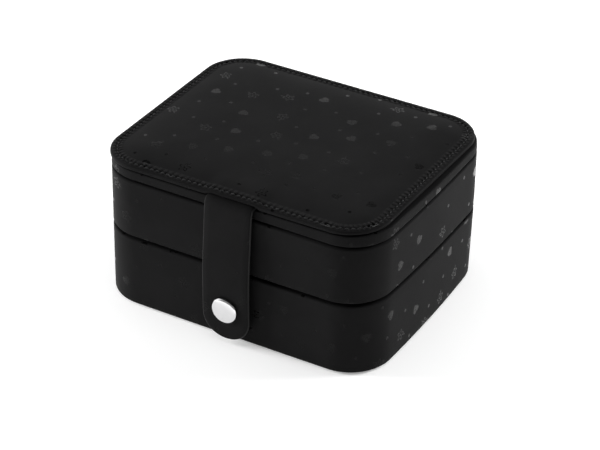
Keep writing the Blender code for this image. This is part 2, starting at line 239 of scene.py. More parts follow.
def swept(name, profile, ring=True, wave=0.0, seed=0.0, v_start=0.0, shift=None):
    """The profile of (inset, z) points swept round the outline.

    A wave bows the outside out, and moves it in and out by up to that much. shift(z) gives the height to
    add at each station, for a profile point at z near the outside.
    """
    rows = []
    for inset, z in profile:
        insets = np.full(len(CENTRES), inset)
        heights = np.full(len(CENTRES), z)
        if wave:
            waves = np.array([wave * waviness(u, z, WAVE_LENGTH, seed) for u in ALONG[:-1]])
            insets -= clamped((WAVE_DEPTH - inset) / WAVE_FADE) * (waves + bow(z))
        if shift:
            heights += clamped((SAG_DEPTH - inset) / SAG_FADE) * shift(z)
        rows.append([(x, y, height) for (x, y), height in zip(loop(insets), heights)])
    vs = [v_start + length for length in lengths(profile)]
    if ring:
        vs.append(vs[-1] + math.dist(profile[-1], profile[0]))
    return skinned(name, rows, ALONG, vs, ring=ring)


def uneven(points, step):
    """Adds points along the long straight stretches of a profile, so that waves show between its ends."""
    made = [points[0]]
    for a, b in zip(points, points[1:]):
        count = max(1, round(math.dist(a, b) / step))
        made += [tuple(a[k] + (b[k] - a[k]) * i / count for k in (0, 1)) for i in range(1, count + 1)]
    return made


# ---------------------------------------------------------------- materials


class Nodes:
    """A node tree under construction, for a material or the world."""

    def __init__(self, owner):
        owner.use_nodes = True
        self.tree = owner.node_tree

    def add(self, kind, **sockets):
        """A node of this kind. Names of sockets are given with _ for a space."""
        node = self.tree.nodes.new(kind)
        for key, value in sockets.items():
            self.feed(node.inputs[key.replace("_", " ")], value)
        return node

    def feed(self, socket, value):
        if isinstance(value, bpy.types.NodeSocket):
            self.tree.links.new(value, socket)
        else:
            socket.default_value = value

    def math(self, operation, *values):
        node = self.tree.nodes.new("ShaderNodeMath")
        node.operation = operation
        for socket, value in zip(node.inputs, values):
            self.feed(socket, value)
        return node.outputs[0]

    def vector(self, operation, *values):
        node = self.tree.nodes.new("ShaderNodeVectorMath")
        node.operation = operation
        for socket, value in zip(node.inputs, values):
            self.feed(socket, value)
        return node.outputs["Value"] if operation in ("LENGTH", "DOT_PRODUCT") else node.outputs["Vector"]

    def scaled(self, vector, factor):
        node = self.tree.nodes.new("ShaderNodeVectorMath")
        node.operation = "SCALE"
        self.feed(node.inputs[0], vector)
        self.feed(node.inputs["Scale"], factor)
        return node.outputs["Vector"]

    def split(self, vector):
        return self.add("ShaderNodeSeparateXYZ", Vector=vector).outputs[:3]

    def joined(self, x, y, z=0.0):
        return self.add("ShaderNodeCombineXYZ", X=x, Y=y, Z=z).outputs[0]

    def ramp(self, value, start, end, first=0.0, last=1.0, smooth=True):
        """From first, where value is start or less, to last, where it is end or more."""
        ends = {"From_Min": start, "From_Max": end, "To_Min": first, "To_Max": last}
        node = self.add("ShaderNodeMapRange", Value=value, **ends)
        node.interpolation_type = "SMOOTHSTEP" if smooth else "LINEAR"
        return node.outputs["Result"]

    def noise(self, vector, scale, detail=2.0, roughness=0.5):
        node = self.add("ShaderNodeTexNoise", Vector=vector, Scale=scale, Detail=detail, Roughness=roughness)
        return node.outputs["Fac"]

    def mix(self, share, a, b):
        """A colour from a at share 0 to b at share 1."""
        node = self.tree.nodes.new("ShaderNodeMix")
        node.data_type = "RGBA"
        self.feed(node.inputs["Factor"], share)
        self.feed(node.inputs["A"], (*a, 1) if isinstance(a, tuple) else a)
        self.feed(node.inputs["B"], (*b, 1) if isinstance(b, tuple) else b)
        return node.outputs["Result"]

    def bump(self, height, distance, strength=1.0, normal=None):
        node = self.add("ShaderNodeBump", Height=height, Distance=distance, Strength=strength)
        if normal is not None:
            self.feed(node.inputs["Normal"], normal)
        return node.outputs["Normal"]

    def place(self):
        """The piece's own coordinates in millimetres, which ride with its body."""
        return self.scaled(self.add("ShaderNodeTexCoord").outputs["Object"], 1 / MM)

    def flat(self, layer):
        """The place in a UV map, in millimetres."""
        uv = self.add("ShaderNodeUVMap")
        uv.uv_map = layer
        return self.scaled(uv.outputs["UV"], 1 / MM)


class Graph(Nodes):
    """A node material under construction. Its lengths are millimetres, except the bumps' depths."""

    def __init__(self, name):
        self.material = bpy.data.materials.new(name)
        super().__init__(self.material)
        self.shader = self.tree.nodes["Principled BSDF"]

    def look(self, **sockets):
        """The material, once these sockets of its shader are set. Names are given with _ for a space."""
        for key, value in sockets.items():
            socket = self.shader.inputs[key.replace("_", " ")]
            self.feed(socket, (*value, 1) if isinstance(value, tuple) else value)
        return self.material


# The pressed pattern, in millimetres on the sheet: its cells' size and turn, how far a motif strays from
# its cell's middle, the motifs' own sizes, and the shares of their cells that hold each of them.
MOTIF_PITCH = 13.0
MOTIF_TURN = math.radians(24)
MOTIF_SHIFT = 2.7
HEART_SIZE = 2.2
DOT_RADIUS = 0.95
PETALS = 5
PETAL_DEPTH = 0.75
FLOWER_RADIUS = 2.1
HEART_SHARE = 0.32
FLOWER_SHARE = 0.30
DOT_SHARE = 0.90


def heart(graph, x, y):
    """1 inside the curve (x^2 + y^2 - 1)^3 = x^2 y^3."""
    heart_x = graph.math("DIVIDE", x, HEART_SIZE)
    heart_y = graph.math("DIVIDE", y, HEART_SIZE)
    square_x = graph.math("MULTIPLY", heart_x, heart_x)
    square_y = graph.math("MULTIPLY", heart_y, heart_y)
    ball = graph.math("SUBTRACT", graph.math("ADD", square_x, square_y), 1.0)
    cube = graph.math("MULTIPLY", graph.math("MULTIPLY", ball, ball), ball)
    lobe = graph.math("MULTIPLY", square_x, graph.math("MULTIPLY", square_y, heart_y))
    return graph.ramp(graph.math("SUBTRACT", cube, lobe), -0.06, 0.08, 1, 0)


def flower(graph, x, y, distance):
    """1 on an outline of petals, on the dot in its middle and on its stem."""
    petal = graph.math("COSINE", graph.math("MULTIPLY", graph.math("ARCTAN2", y, x), PETALS))
    rim = graph.math("MULTIPLY_ADD", petal, PETAL_DEPTH, FLOWER_RADIUS)
    off_rim = graph.math("ABSOLUTE", graph.math("SUBTRACT", distance, rim))
    petals = graph.ramp(off_rim, 0.22, 0.5, 1, 0)
    eye = graph.ramp(distance, 0.45, 0.75, 1, 0)
    off_stem = graph.math("ABSOLUTE", graph.math("ADD", x, 0.25))
    on_stem = graph.math("COMPARE", y, -3.3, 1.1)
    stem = graph.math("MULTIPLY", graph.ramp(off_stem, 0.16, 0.42, 1, 0), on_stem)
    return graph.math("MAXIMUM", graph.math("MAXIMUM", petals, eye), stem)


def motif_mask(graph, sheet, seed):
    """1 inside the motifs, 0 outside: hearts and outline flowers on a checkerboard, with dots between."""
    turned = graph.add("ShaderNodeVectorRotate", Vector=sheet, Angle=MOTIF_TURN).outputs[0]
    cells = graph.scaled(turned, 1 / MOTIF_PITCH)
    cell = graph.vector("FLOOR", cells)
    middle = graph.vector("ADD", cell, (0.5, 0.5, 0.0))
    local = graph.scaled(graph.vector("SUBTRACT", cells, middle), MOTIF_PITCH)
    seeded = graph.vector("ADD", cell, (seed, 2 * seed, seed))
    random = graph.add("ShaderNodeTexWhiteNoise", Vector=seeded)
    shift_x, shift_y, spin = graph.split(random.outputs["Color"])
    shift = graph.joined(
        graph.ramp(shift_x, 0, 1, -MOTIF_SHIFT, MOTIF_SHIFT, smooth=False),
        graph.ramp(shift_y, 0, 1, -MOTIF_SHIFT, MOTIF_SHIFT, smooth=False),
    )
    flat = graph.vector("MULTIPLY", graph.vector("SUBTRACT", local, shift), (1.0, 1.0, 0.0))
    spun = graph.add("ShaderNodeVectorRotate", Vector=flat, Angle=graph.math("MULTIPLY", spin, math.tau))
    x, y, _ = graph.split(spun.outputs[0])
    distance = graph.vector("LENGTH", flat)
    dot = graph.ramp(distance, DOT_RADIUS - 0.2, DOT_RADIUS + 0.15, 1, 0)
    cell_x, cell_y, _ = graph.split(cell)
    odd = graph.math("FLOORED_MODULO", graph.math("ADD", cell_x, cell_y), 2.0)
    even = graph.math("SUBTRACT", 1.0, odd)
    draw = random.outputs["Value"]
    draws_flower = graph.math("COMPARE", draw, HEART_SHARE + FLOWER_SHARE / 2, FLOWER_SHARE / 2)
    is_heart = graph.math("MULTIPLY", even, graph.math("LESS_THAN", draw, HEART_SHARE))
    is_flower = graph.math("MULTIPLY", even, draws_flower)
    is_dot = graph.math("MULTIPLY", odd, graph.math("LESS_THAN", draw, DOT_SHARE))
    hearts = graph.math("MULTIPLY", heart(graph, x, y), is_heart)
    flowers = graph.math("MULTIPLY", flower(graph, x, y, distance), is_flower)
    dots = graph.math("MULTIPLY", dot, is_dot)
    return graph.math("MAXIMUM", graph.math("MAXIMUM", hearts, flowers), dots)


LEATHER_BLACK = (0.0080, 0.0079, 0.0081)
LEATHER_WORN = (0.0094, 0.0093, 0.0095)
LEATHER_GLOSS = 0.028
COCKLE_DEPTH = 0.08 * MM
GRAIN_DEPTH = 0.03 * MM
PUCKER_DEPTH = 0.8 * MM
# A motif is pressed flat, blacker and smoother than the leather, and its lacquer mirrors a little.
MOTIF_BLACK = (0.0012, 0.0012, 0.0012)
MOTIF_SMOOTHNESS = 0.30
MOTIF_DEPTH = 0.04 * MM
LACQUER_IOR = 1.16
LACQUER_ROUGHNESS = 0.15


def puckers(graph):
    """Where the thread pulls the sheet in: ripples between the stitches, which fade away from the seam."""
    u, v, _ = graph.split(graph.flat("seam"))
    off_seam = graph.math("SUBTRACT", v, SEAM_INSET / MM)
    reach = graph.ramp(graph.math("ABSOLUTE", off_seam), 0.3, 3.2, 1, 0)
    ripple = graph.math("COSINE", graph.math("MULTIPLY", u, math.tau / (STITCH_PITCH / MM)))
    wander = graph.noise(graph.joined(u, graph.math("MULTIPLY", v, 0.6)), 0.8, detail=3.0, roughness=0.65)
    height = graph.math("MULTIPLY_ADD", ripple, 0.35, graph.math("MULTIPLY", wander, 1.6))
    return graph.math("MULTIPLY", height, reach)


def leather(name, seed, motifs=True, seam=False):
    """Matte black PU with a fine grain and, where motifs is set, glossier motifs pressed into it."""
    graph = Graph(name)
    sheet = graph.flat("sheet")
    grain = graph.noise(sheet, 2.6, detail=3.0, roughness=0.6)
    pores = graph.noise(sheet, 7.0, detail=1.0)
    cockle = graph.noise(sheet, 0.32, detail=2.0)
    patches = graph.noise(graph.vector("ADD", sheet, (seed, seed, 0.0)), 0.045, detail=2.0)
    colour = graph.mix(graph.ramp(patches, 0.35, 0.7), LEATHER_BLACK, LEATHER_WORN)
    rough = graph.ramp(grain, 0.25, 0.75, 0.47, 0.55)
    height = graph.math("MULTIPLY_ADD", grain, 0.6, graph.math("MULTIPLY", pores, 0.4))
    normal = graph.bump(cockle, COCKLE_DEPTH, 0.5)
    normal = graph.bump(height, GRAIN_DEPTH, 0.5, normal)
    if seam:
        normal = graph.bump(puckers(graph), PUCKER_DEPTH, 1.0, normal)
    if motifs:
        mask = motif_mask(graph, sheet, seed)
        scuffs = graph.noise(sheet, 0.9, detail=3.0, roughness=0.7)
        ink = graph.math("MULTIPLY", mask, graph.ramp(scuffs, 0.30, 0.62, 0.6, 1.0))
        colour = graph.mix(ink, colour, MOTIF_BLACK)
        rough = graph.math("ADD", rough, graph.math("MULTIPLY", ink, -MOTIF_SMOOTHNESS))
        normal = graph.bump(graph.math("SUBTRACT", 1.0, mask), MOTIF_DEPTH, 0.5, normal)
        graph.look(Coat_Weight=ink, Coat_Roughness=LACQUER_ROUGHNESS, Coat_IOR=LACQUER_IOR)
    return graph.look(Base_Color=colour, Roughness=rough, Normal=normal, Specular_IOR_Level=LEATHER_GLOSS)


def velvet():
    """Short-pile velvet: patches where the nap lies another way, and a soft sheen."""
    graph = Graph("charcoal_velvet")
    place = graph.place()
    nap = graph.noise(place, 0.09, detail=3.0, roughness=0.6)
    fibres = graph.noise(place, 5.0, detail=2.0, roughness=0.7)
    lean = graph.math("MULTIPLY_ADD", fibres, 0.35, graph.math("MULTIPLY", nap, 0.65))
    return graph.look(
        Base_Color=graph.mix(graph.ramp(lean, 0.38, 0.62), (0.018, 0.0175, 0.019), (0.031, 0.030, 0.032)),
        Roughness=graph.ramp(fibres, 0.2, 0.8, 0.82, 0.98),
        Normal=graph.bump(fibres, 0.12 * MM, 0.7),
        Sheen_Weight=0.25,
        Sheen_Roughness=0.45,
        Specular_IOR_Level=0.15,
    )


def chrome():
    """Polished nickel-chrome with the faint haze and hairlines of a stamped snap."""
    graph = Graph("chrome_plate")
    place = graph.place()
    haze = graph.noise(place, 0.5, detail=3.0)
    hairlines = graph.noise(graph.vector("MULTIPLY", place, (9.0, 1.0, 0.7)), 1.0, detail=2.0)
    return graph.look(
        Base_Color=graph.mix(haze, (0.70, 0.70, 0.71), (0.78, 0.78, 0.78)),
        Roughness=graph.ramp(haze, 0.3, 0.7, 0.05, 0.09),
        Normal=graph.bump(hairlines, 0.01 * MM, 0.12),
        Metallic=1.0,
    )


def mirror_glass():
    """Silvered glass, with faint smears that only change its gloss."""
    graph = Graph("mirror_glass")
    smears = graph.noise(graph.place(), 0.05, detail=3.0, roughness=0.6)
    colour = graph.mix(smears, (0.86, 0.88, 0.88), (0.90, 0.91, 0.91))
    return graph.look(Base_Color=colour, Roughness=graph.ramp(smears, 0.3, 0.8, 0.015, 0.05), Metallic=1.0)


def fibreboard():
    """Brown pressed board with long flecks."""
    graph = Graph("fibreboard")
    place = graph.place()
    flecks = graph.noise(graph.vector("MULTIPLY", place, (1.0, 3.0, 3.0)), 0.9, detail=4.0, roughness=0.7)
    colour = graph.mix(graph.ramp(flecks, 0.35, 0.65), (0.17, 0.12, 0.08), (0.27, 0.21, 0.15))
    return graph.look(Base_Color=colour, Normal=graph.bump(flecks, 0.1 * MM, 0.5), Roughness=0.85)


def edge_paint():
    """The rubbery paint on a cut edge, a little greyer than the leather."""
    graph = Graph("edge_paint")
    drips = graph.noise(graph.place(), 0.7, detail=3.0)
    return graph.look(
        Base_Color=graph.mix(drips, (0.014, 0.014, 0.014), (0.024, 0.024, 0.024)),
        Roughness=graph.ramp(drips, 0.3, 0.7, 0.42, 0.6),
        Normal=graph.bump(drips, 0.08 * MM, 0.4),
        Specular_IOR_Level=0.1,
    )


def thread():
    """Twisted sewing thread."""
    graph = Graph("black_thread")
    u, v, _ = graph.split(graph.flat("sheet"))
    twist = graph.math("SINE", graph.math("MULTIPLY_ADD", u, 14.0, graph.math("MULTIPLY", v, 9.0)))
    fuzz = graph.noise(graph.place(), 6.0, detail=2.0)
    return graph.look(
        Base_Color=graph.mix(fuzz, (0.010, 0.010, 0.010), (0.030, 0.030, 0.031)),
        Roughness=graph.ramp(fuzz, 0.3, 0.7, 0.32, 0.5),
        Normal=graph.bump(twist, 0.06 * MM, 0.8),
    )


def paint(piece, material):
    """Gives a piece its material, as its only one."""
    piece.data.materials.clear()
    piece.data.materials.append(material)
    return piece


def paint_cad(names, material):
    """Gives CAD nodes that stay their material."""
    for name in names:
        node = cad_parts[name]
        if not node.material_slots:
            node.data.materials.append(material)
        for held in node.material_slots:
            held.material = material


# Each seed gives another stretch of the pressed pattern, so no two wraps are alike.
PRINTED = {seed: leather(f"printed_leather_{seed}", float(seed)) for seed in (11, 23, 31, 37)}
PLAIN = leather("plain_leather", 5.0, motifs=False)
VELVET = velvet()
CHROME = chrome()


# ---------------------------------------------------------------- the cases' covers

# How far the wraps stay clear of the gap between the trays and of the gap under the lid, and the
# rounding of their turned-in ends.
LIP = 0.45 * MM
TOP_LIP = 0.3 * MM
HEM = 0.3 * MM


def case_cover(name, span, lifts, edges, seed, node, body):
    """A case's wrap, turned in under the bottom and over the top.

    lifts are how far its bottom and top stay clear of the gaps, and edges are their rounding.
    """
    edge_low, edge_high = edges
    bottom, top = span[0] + lifts[0], span[1] - lifts[1]
    profile = [(FLANGE, bottom)]
    profile += arc((edge_low, bottom + edge_low), edge_low, 270, 180, 7)
    profile += arc((edge_high, top - edge_high), edge_high, 180, 90, 7)
    profile += arc((WALL - HEM, top - HEM), HEM, 90, 0, 3)
    outside = uneven(profile, 5 * MM)
    inside = [(WALL, top - COVER), (COVER, top - COVER), (COVER, bottom + COVER), (FLANGE, bottom + COVER)]

    def shift(z):
        near_lid = clamped((z - UPPER[1] + SAG_HEIGHT) / SAG_HEIGHT)
        return -RIM_SAG * SAG * near_lid**2

    piece = swept(name, outside + inside, wave=0.07 * MM, seed=float(seed), shift=shift)
    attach(piece, body)
    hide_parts(node)
    return paint(piece, PRINTED[seed])


def lid_rim():
    """The lid's rim band, turned in above and below. It leans in a little towards its top."""
    bottom, top = LID[0] + 0.15 * MM, LID[1] + 0.05 * MM
    low_edge, high_edge, lean = 1.0 * MM, 0.8 * MM, 0.25 * MM
    profile = [(WALL, bottom)]
    profile += arc((low_edge, bottom + low_edge), low_edge, 270, 180, 7)
    profile += arc((lean + high_edge, top - high_edge), high_edge, 176, 90, 6)
    profile += [(FLANGE, top), (FLANGE, top - COVER), (COVER, top - COVER), (COVER, bottom + COVER)]
    profile += [(WALL, bottom + COVER)]

    def shift(z):
        share = (z - bottom) / (top - bottom)
        return SAG * (RIM_RISE * share - RIM_SAG * (1 - share))

    piece = swept("lid_rim_band", profile, wave=0.05 * MM, seed=7.0, v_start=30 * MM, shift=shift)
    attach(piece, "lid")
    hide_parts("lid_cover")
    return paint(piece, PRINTED[37])


case_cover("lower_case_cover", LOWER, (0, LIP), (1.8 * MM, 0.9 * MM), 11, "lower_cover", "lower_case")
case_cover("upper_case_cover", UPPER, (LIP, TOP_LIP), (1.2 * MM, 1.0 * MM), 23, "upper_cover", "upper_case")
lid_rim()


# ---------------------------------------------------------------- the padded, sewn top panel

strap_low, strap_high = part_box("strap_outer")
STRAP_X = (strap_low.x + strap_high.x) / 2
STRAP_HALF = (strap_high.x - strap_low.x) / 2
STRAP_OUT = FRONT - strap_low.y
STRAP_TIP = strap_low.z
STRAP_THICKNESS = 1.9 * MM
STRAP_ROOT = 20 * MM
panel_low, panel_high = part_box("lid_top_panel")
PANEL_X = (panel_low.x + panel_high.x) / 2
PANEL_Y = (panel_low.y + panel_high.y) / 2
PANEL_INSET = HALF_WIDTH - (panel_high.x - panel_low.x) / 2
# The panel's loft, and how far in from the seam most of it is reached.
CROWN_RISE = 2.1 * MM
CROWN_REACH = 10 * MM
# How far the strap's root lifts the panel's underside and its top.
STRAP_LIFT = 1.35 * MM
STRAP_BUMP = 0.6 * MM
GROOVE_DEPTH = 0.4 * MM
GROOVE_REACH = 0.7 * MM
# The insets of the underside's innermost ring and of the ring where the rolled edge meets the top.
UNDER_MIDDLE = 58 * MM
BORDER = 1.1 * MM


def seam_groove(inset):
    """How far the thread pulls the sheet down at this distance in from the edge."""
    return GROOVE_DEPTH * math.exp(-(((inset - SEAM_INSET) / GROOVE_REACH) ** 2))


def panel_loop(inset):
    """The outline of the panel, which sits a little off the lid's middle, moved in by inset."""
    return loop(PANEL_INSET + inset) + np.array([PANEL_X, PANEL_Y])


def over_strap(x, y, fade=10 * MM):
    """1 over the strap's root, 0 away from it. fade is how far forward of its end it takes to reach 1."""
    beside, behind = 2.2 * MM, 3 * MM
    side = eased((STRAP_HALF + beside - abs(x - STRAP_X)) / beside)
    return side * eased((FRONT + STRAP_ROOT + behind - y) / fade)


def panel_top(inset, x, y):
    """Height of the padded sheet: a rounded border, the seam, and a crown that flattens to the middle."""
    border = 0.25 * MM * math.sin(min(inset / SEAM_INSET, 1) * math.pi)
    crown = CROWN_RISE * (1 - math.exp(-max(inset - SEAM_INSET, 0) / CROWN_REACH))
    ripple = 0.04 * MM * waviness(x, y, 9 * MM, 2.0)
    swell = 0.10 * MM * waviness(x, y, 34 * MM, 6.0) * min(inset / (12 * MM), 1)
    bump = STRAP_BUMP * over_strap(x, y, STRAP_ROOT)
    return PANEL_EDGE + border + crown + ripple + swell + bump - seam_groove(inset)


def top_panel():
    """The padded panel: a flat underside, a rolled edge, and the sewn and crowned top, ring by ring."""
    # Inset in millimetres and share of the way from the underside up to the top, round the rolled edge.
    rolled_edge = [(1.6, 0.0), (0.6, 0.03), (0.2, 0.08), (0.04, 0.18), (0.0, 0.36)]
    rolled_edge += [(0.03, 0.58), (0.15, 0.77), (0.4, 0.9), (0.72, 0.97)]
    # The rings of the top, in millimetres: close together across the seam, and wider over the crown.
    top_insets = [1.5, 1.9, 2.3, 2.6, 2.9, 3.2, 3.5, 3.8, 4.1, 4.5]
    top_insets += [5.2 + i for i in range(12)]
    top_insets += [18 + 4 * i for i in range(11)]
    rows, vs = [], []

    def ring(inset, height, v):
        rows.append([(x, y, height(x, y, share)) for (x, y), share in zip(panel_loop(inset), SAG)])
        vs.append(v)

    def underside(x, y, share):
        return PANEL_LOW + RIM_RISE * share + STRAP_LIFT * over_strap(x, y)

    def edge_height(part):
        return lambda x, y, share: underside(x, y, share) * (1 - part) + panel_top(BORDER, x, y) * part

    ring(UNDER_MIDDLE, underside, -60 * MM)
    ring(FLANGE, underside, -11 * MM)
    for inset, part in rolled_edge:
        ring(inset * MM, edge_height(part), (part * 2 - 3) * MM)
    for inset in [BORDER] + [inset * MM for inset in top_insets]:
        ring(inset, lambda x, y, share, d=inset: panel_top(d, x, y), inset)
    piece = skinned("lid_padded_panel", rows, ALONG, vs)
    seam = piece.data.uv_layers.new(name="seam").data
    sheet = piece.data.uv_layers["sheet"].data
    for face in piece.data.polygons:
        on_side = len(face.vertices) == 4
        for corner in face.loop_indices:
            seam[corner].uv = sheet[corner].uv if on_side else (0.0, 1.0)
    lay_flat(piece)
    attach(piece, "lid")
    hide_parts("lid_top_panel", "lid_panel_backing", "lid_foam")
    return paint(piece, leather("panel_leather", 3.0, seam=True))


def lay_flat(piece):
    """Maps the sheet straight down, so that the print is not stretched towards the middle."""
    uv = piece.data.uv_layers["sheet"].data
    for corner in piece.data.loops:
        place = piece.data.vertices[corner.vertex_index].co
        drop = PANEL_EDGE - place.z
        outward = 1 + max(drop, 0) / HALF_WIDTH
        uv[corner.index].uv = (place.x * outward, place.y * outward)


THREAD_RADIUS = 0.3 * MM
STITCH_GAP = 0.8 * MM
STITCH_LIFT = 0.16 * MM


def stitch(mesh, uv, start, end, sides=7, steps=6):
    """Adds one stitch between two holes: a thread that rises in the middle and dives at both ends."""
    up = Vector((0, 0, 1))
    along = (end - start).normalized()
    across = up.cross(along).normalized()
    angles = [math.tau * k / sides for k in range(sides)]
    rows = []
    for i in range(steps + 1):
        share = i / steps
        off_middle = abs(2 * share - 1)
        height = STITCH_LIFT * math.sin(share * math.pi) - THREAD_RADIUS * 0.9 * off_middle**3
        centre = start.lerp(end, share) + up * height
        size = THREAD_RADIUS * (1 - 0.55 * off_middle**4)
        spokes = [across * size * math.cos(a) + up * size * math.sin(a) for a in angles]
        rows.append([mesh.verts.new(centre + spoke) for spoke in spokes])
    for i in range(steps):
        for k in range(sides):
            m = (k + 1) % sides
            face = mesh.faces.new((rows[i][k], rows[i][m], rows[i + 1][m], rows[i + 1][k]))
            places = [(i, k), (i, k + 1), (i + 1, k + 1), (i + 1, k)]
            for corner, (a, b) in zip(face.loops, places):
                corner[uv].uv = (a * 0.45 * MM, b * 0.2 * MM)
    mesh.faces.new(reversed(rows[0]))
    mesh.faces.new(rows[-1])


def lid_stitching():
    """Lockstitches round the panel, a pitch apart, each sunk at both ends."""
    path = panel_loop(SEAM_INSET)
    steps = np.linalg.norm(np.roll(path, -1, axis=0) - path, axis=1)
    reach = np.concatenate([[0], np.cumsum(steps)])
    closed = np.vstack([path, path[:1]])
    count = round(reach[-1] / STITCH_PITCH)
    mesh = bmesh.new()
    uv = mesh.loops.layers.uv.new("sheet")

    def point(at):
        x = float(np.interp(at % reach[-1], reach, closed[:, 0]))
        y = float(np.interp(at % reach[-1], reach, closed[:, 1]))
        return Vector((x, y, panel_top(SEAM_INSET, x, y) + 0.12 * MM))

    for i in range(count):
        at = reach[-1] * i / count
        slip = 0.12 * MM * noise.noise(Vector((i * 1.7, 0.5, 0.0)))
        start = point(at + STITCH_GAP / 2 + slip)
        end = point(at + reach[-1] / count - STITCH_GAP / 2 + slip)
        stitch(mesh, uv, start, end)
    bmesh.ops.recalc_face_normals(mesh, faces=mesh.faces)
    piece = new_object("lid_stitching", mesh, 60)
    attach(piece, "lid")
    return paint(piece, thread())


top_panel()
lid_stitching()


# ---------------------------------------------------------------- the strap and the hinge strips


def smooth_path(points, steps):
    """A Catmull-Rom curve through (y, z) points, with steps pieces to each stretch."""
    knots = np.array([points[0], *points, points[-1]])
    made = []
    for a, b, c, d in zip(knots, knots[1:], knots[2:], knots[3:]):
        for t in np.arange(steps) / steps:
            bend = (2 * a - 5 * b + 4 * c - d) * t**2 + (3 * b - a - 3 * c + d) * t**3
            made.append(tuple(0.5 * (2 * b + (c - a) * t + bend)))
    return [*made, points[-1]]


def ribbon(name, path, half_widths, inner, outer, edge, centre_x=0.0, v_start=0.0):
    """A flat band along a (y, z) path, with a half width for each of its points.

    inner and outer are its faces' distances from the path, and edge is its rounding.
    """
    rows = []
    across = 8
    steps = [-1 + 2 * k / across for k in range(across + 1)]
    for i, (y, z) in enumerate(path):
        before, after = path[max(i - 1, 0)], path[min(i + 1, len(path) - 1)]
        tangent = Vector((after[0] - before[0], after[1] - before[1])).normalized()
        out = Vector((tangent.y, -tangent.x))
        half = half_widths[i]
        soft = min(edge, half * 0.45)
        section = [(s * (half - soft), outer) for s in steps]
        section += [(half - soft * 0.3, outer - soft * 0.3), (half, outer - soft), (half, inner + soft)]
        section += [(half - soft * 0.3, inner + soft * 0.3)]
        section += [(-s * (half - soft), inner) for s in steps]
        section += [(soft * 0.3 - half, inner + soft * 0.3), (-half, inner + soft), (-half, outer - soft)]
        section += [(soft * 0.3 - half, outer - soft * 0.3)]
        rows.append([(centre_x + x, y + out.x * d, z + out.y * d) for x, d in section])
    us = [0.0, *np.cumsum([math.dist(a, b) for a, b in zip(rows[0], rows[0][1:] + rows[0][:1])])]
    return skinned(name, rows, us, [v_start + v for v in lengths(path)], smooth_angle=50)


def tube(name, points, radius, sides=8):
    """A round bead along points."""
    rows, before = [], None
    for i, point in enumerate(points):
        along = (points[min(i + 1, len(points) - 1)] - points[max(i - 1, 0)]).normalized()
        side = before - along * before.dot(along) if before else along.orthogonal()
        before = side.normalized()
        other = along.cross(before)
        turns = [math.tau * k / sides for k in range(sides)]
        rows.append([point + (before * math.cos(a) + other * math.sin(a)) * radius for a in turns])
    us = [radius * math.tau * k / sides for k in range(sides + 1)]
    vs = [0.0, *np.cumsum([(b - a).length for a, b in zip(points, points[1:])])]
    return skinned(name, rows, us, vs, smooth_angle=60)


# How far out of the strap's middle its two sheets meet.
GLUE_LINE = 0.1 * MM


def strap_bead(path, half_widths):
    """The painted cut edge, down one side of the strap, round its end and up the other."""
    sink, radius = 0.12 * MM, 0.62 * MM

    def edge(side):
        halves = [half - sink for half in half_widths]
        return [Vector((STRAP_X + side * half, y - GLUE_LINE, z)) for (y, z), half in zip(path, halves)]

    return tube("strap_edge_bead", edge(-1) + edge(1)[::-1], radius)


def strap():
    """Two glued sheets, from under the panel over the rim and down the front, with a round end."""
    root_z = PANEL_LOW + 0.05 * MM
    line = FRONT - STRAP_OUT + STRAP_THICKNESS / 2
    knots = [
        (FRONT + STRAP_ROOT, root_z),
        (FRONT + 8 * MM, root_z),
        (FRONT + 0.5 * MM, root_z),
        (FRONT - 1.7 * MM, root_z - 1.3 * MM),
        (FRONT - 2.5 * MM, root_z - 5.5 * MM),
        (FRONT - 3.3 * MM, root_z - 17 * MM),
        (line, root_z - 36 * MM),
        (line, root_z - 52 * MM),
        (line + 0.2 * MM, STRAP_TIP + 12 * MM),
    ]
    path = smooth_path(knots, 8)
    end_y, end_z = path[-1]
    half_widths = [STRAP_HALF] * len(path)
    # The last ring stops a little short of 90 degrees, where the strap would have no width.
    end_rings, last_angle = 10, math.radians(90 / 1.035)
    for i in range(1, end_rings + 1):
        angle = last_angle * i / end_rings
        path.append((end_y + 0.1 * MM * i / end_rings, end_z - (end_z - STRAP_TIP) * math.sin(angle)))
        half_widths.append(STRAP_HALF * math.cos(angle) ** 0.92)
    outer, glue = STRAP_THICKNESS / 2, 0.06 * MM
    face = ribbon("strap_face", path, half_widths, GLUE_LINE, outer, 0.32 * MM, STRAP_X)
    back = ribbon("strap_back", path, half_widths, -outer, GLUE_LINE - glue, 0.22 * MM, STRAP_X)
    bead = strap_bead(path, half_widths)
    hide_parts("strap_outer", "strap_anchor")
    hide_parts("strap_lining")
    # Their transforms are applied to their meshes.
    for piece in (face, back, bead):
        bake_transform(piece)
    paint(face, PRINTED[31])
    paint(back, PLAIN)
    paint(bead, edge_paint())


strap()


def hinge_strip(name, gap, ends, *nodes):
    """The part of the back strip at one gap: a flat band from one end height to the other. gap, its two
    bodies and their joint, is not used.
    """
    bottom, top = ends
    leaf_low, leaf_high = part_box("upper_hinge_leaf")
    half = (leaf_high.x - leaf_low.x) / 2
    y = BACK + 0.3 * MM
    thickness, rounding, count = 0.95 * MM, 0.25 * MM, 28
    path = [(y, bottom + (top - bottom) * i / count) for i in range(count + 1)]
    piece = ribbon(name, path, [half] * len(path), 0.0, thickness, rounding, v_start=bottom)
    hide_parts(*nodes)
    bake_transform(piece)
    return paint(piece, PLAIN)


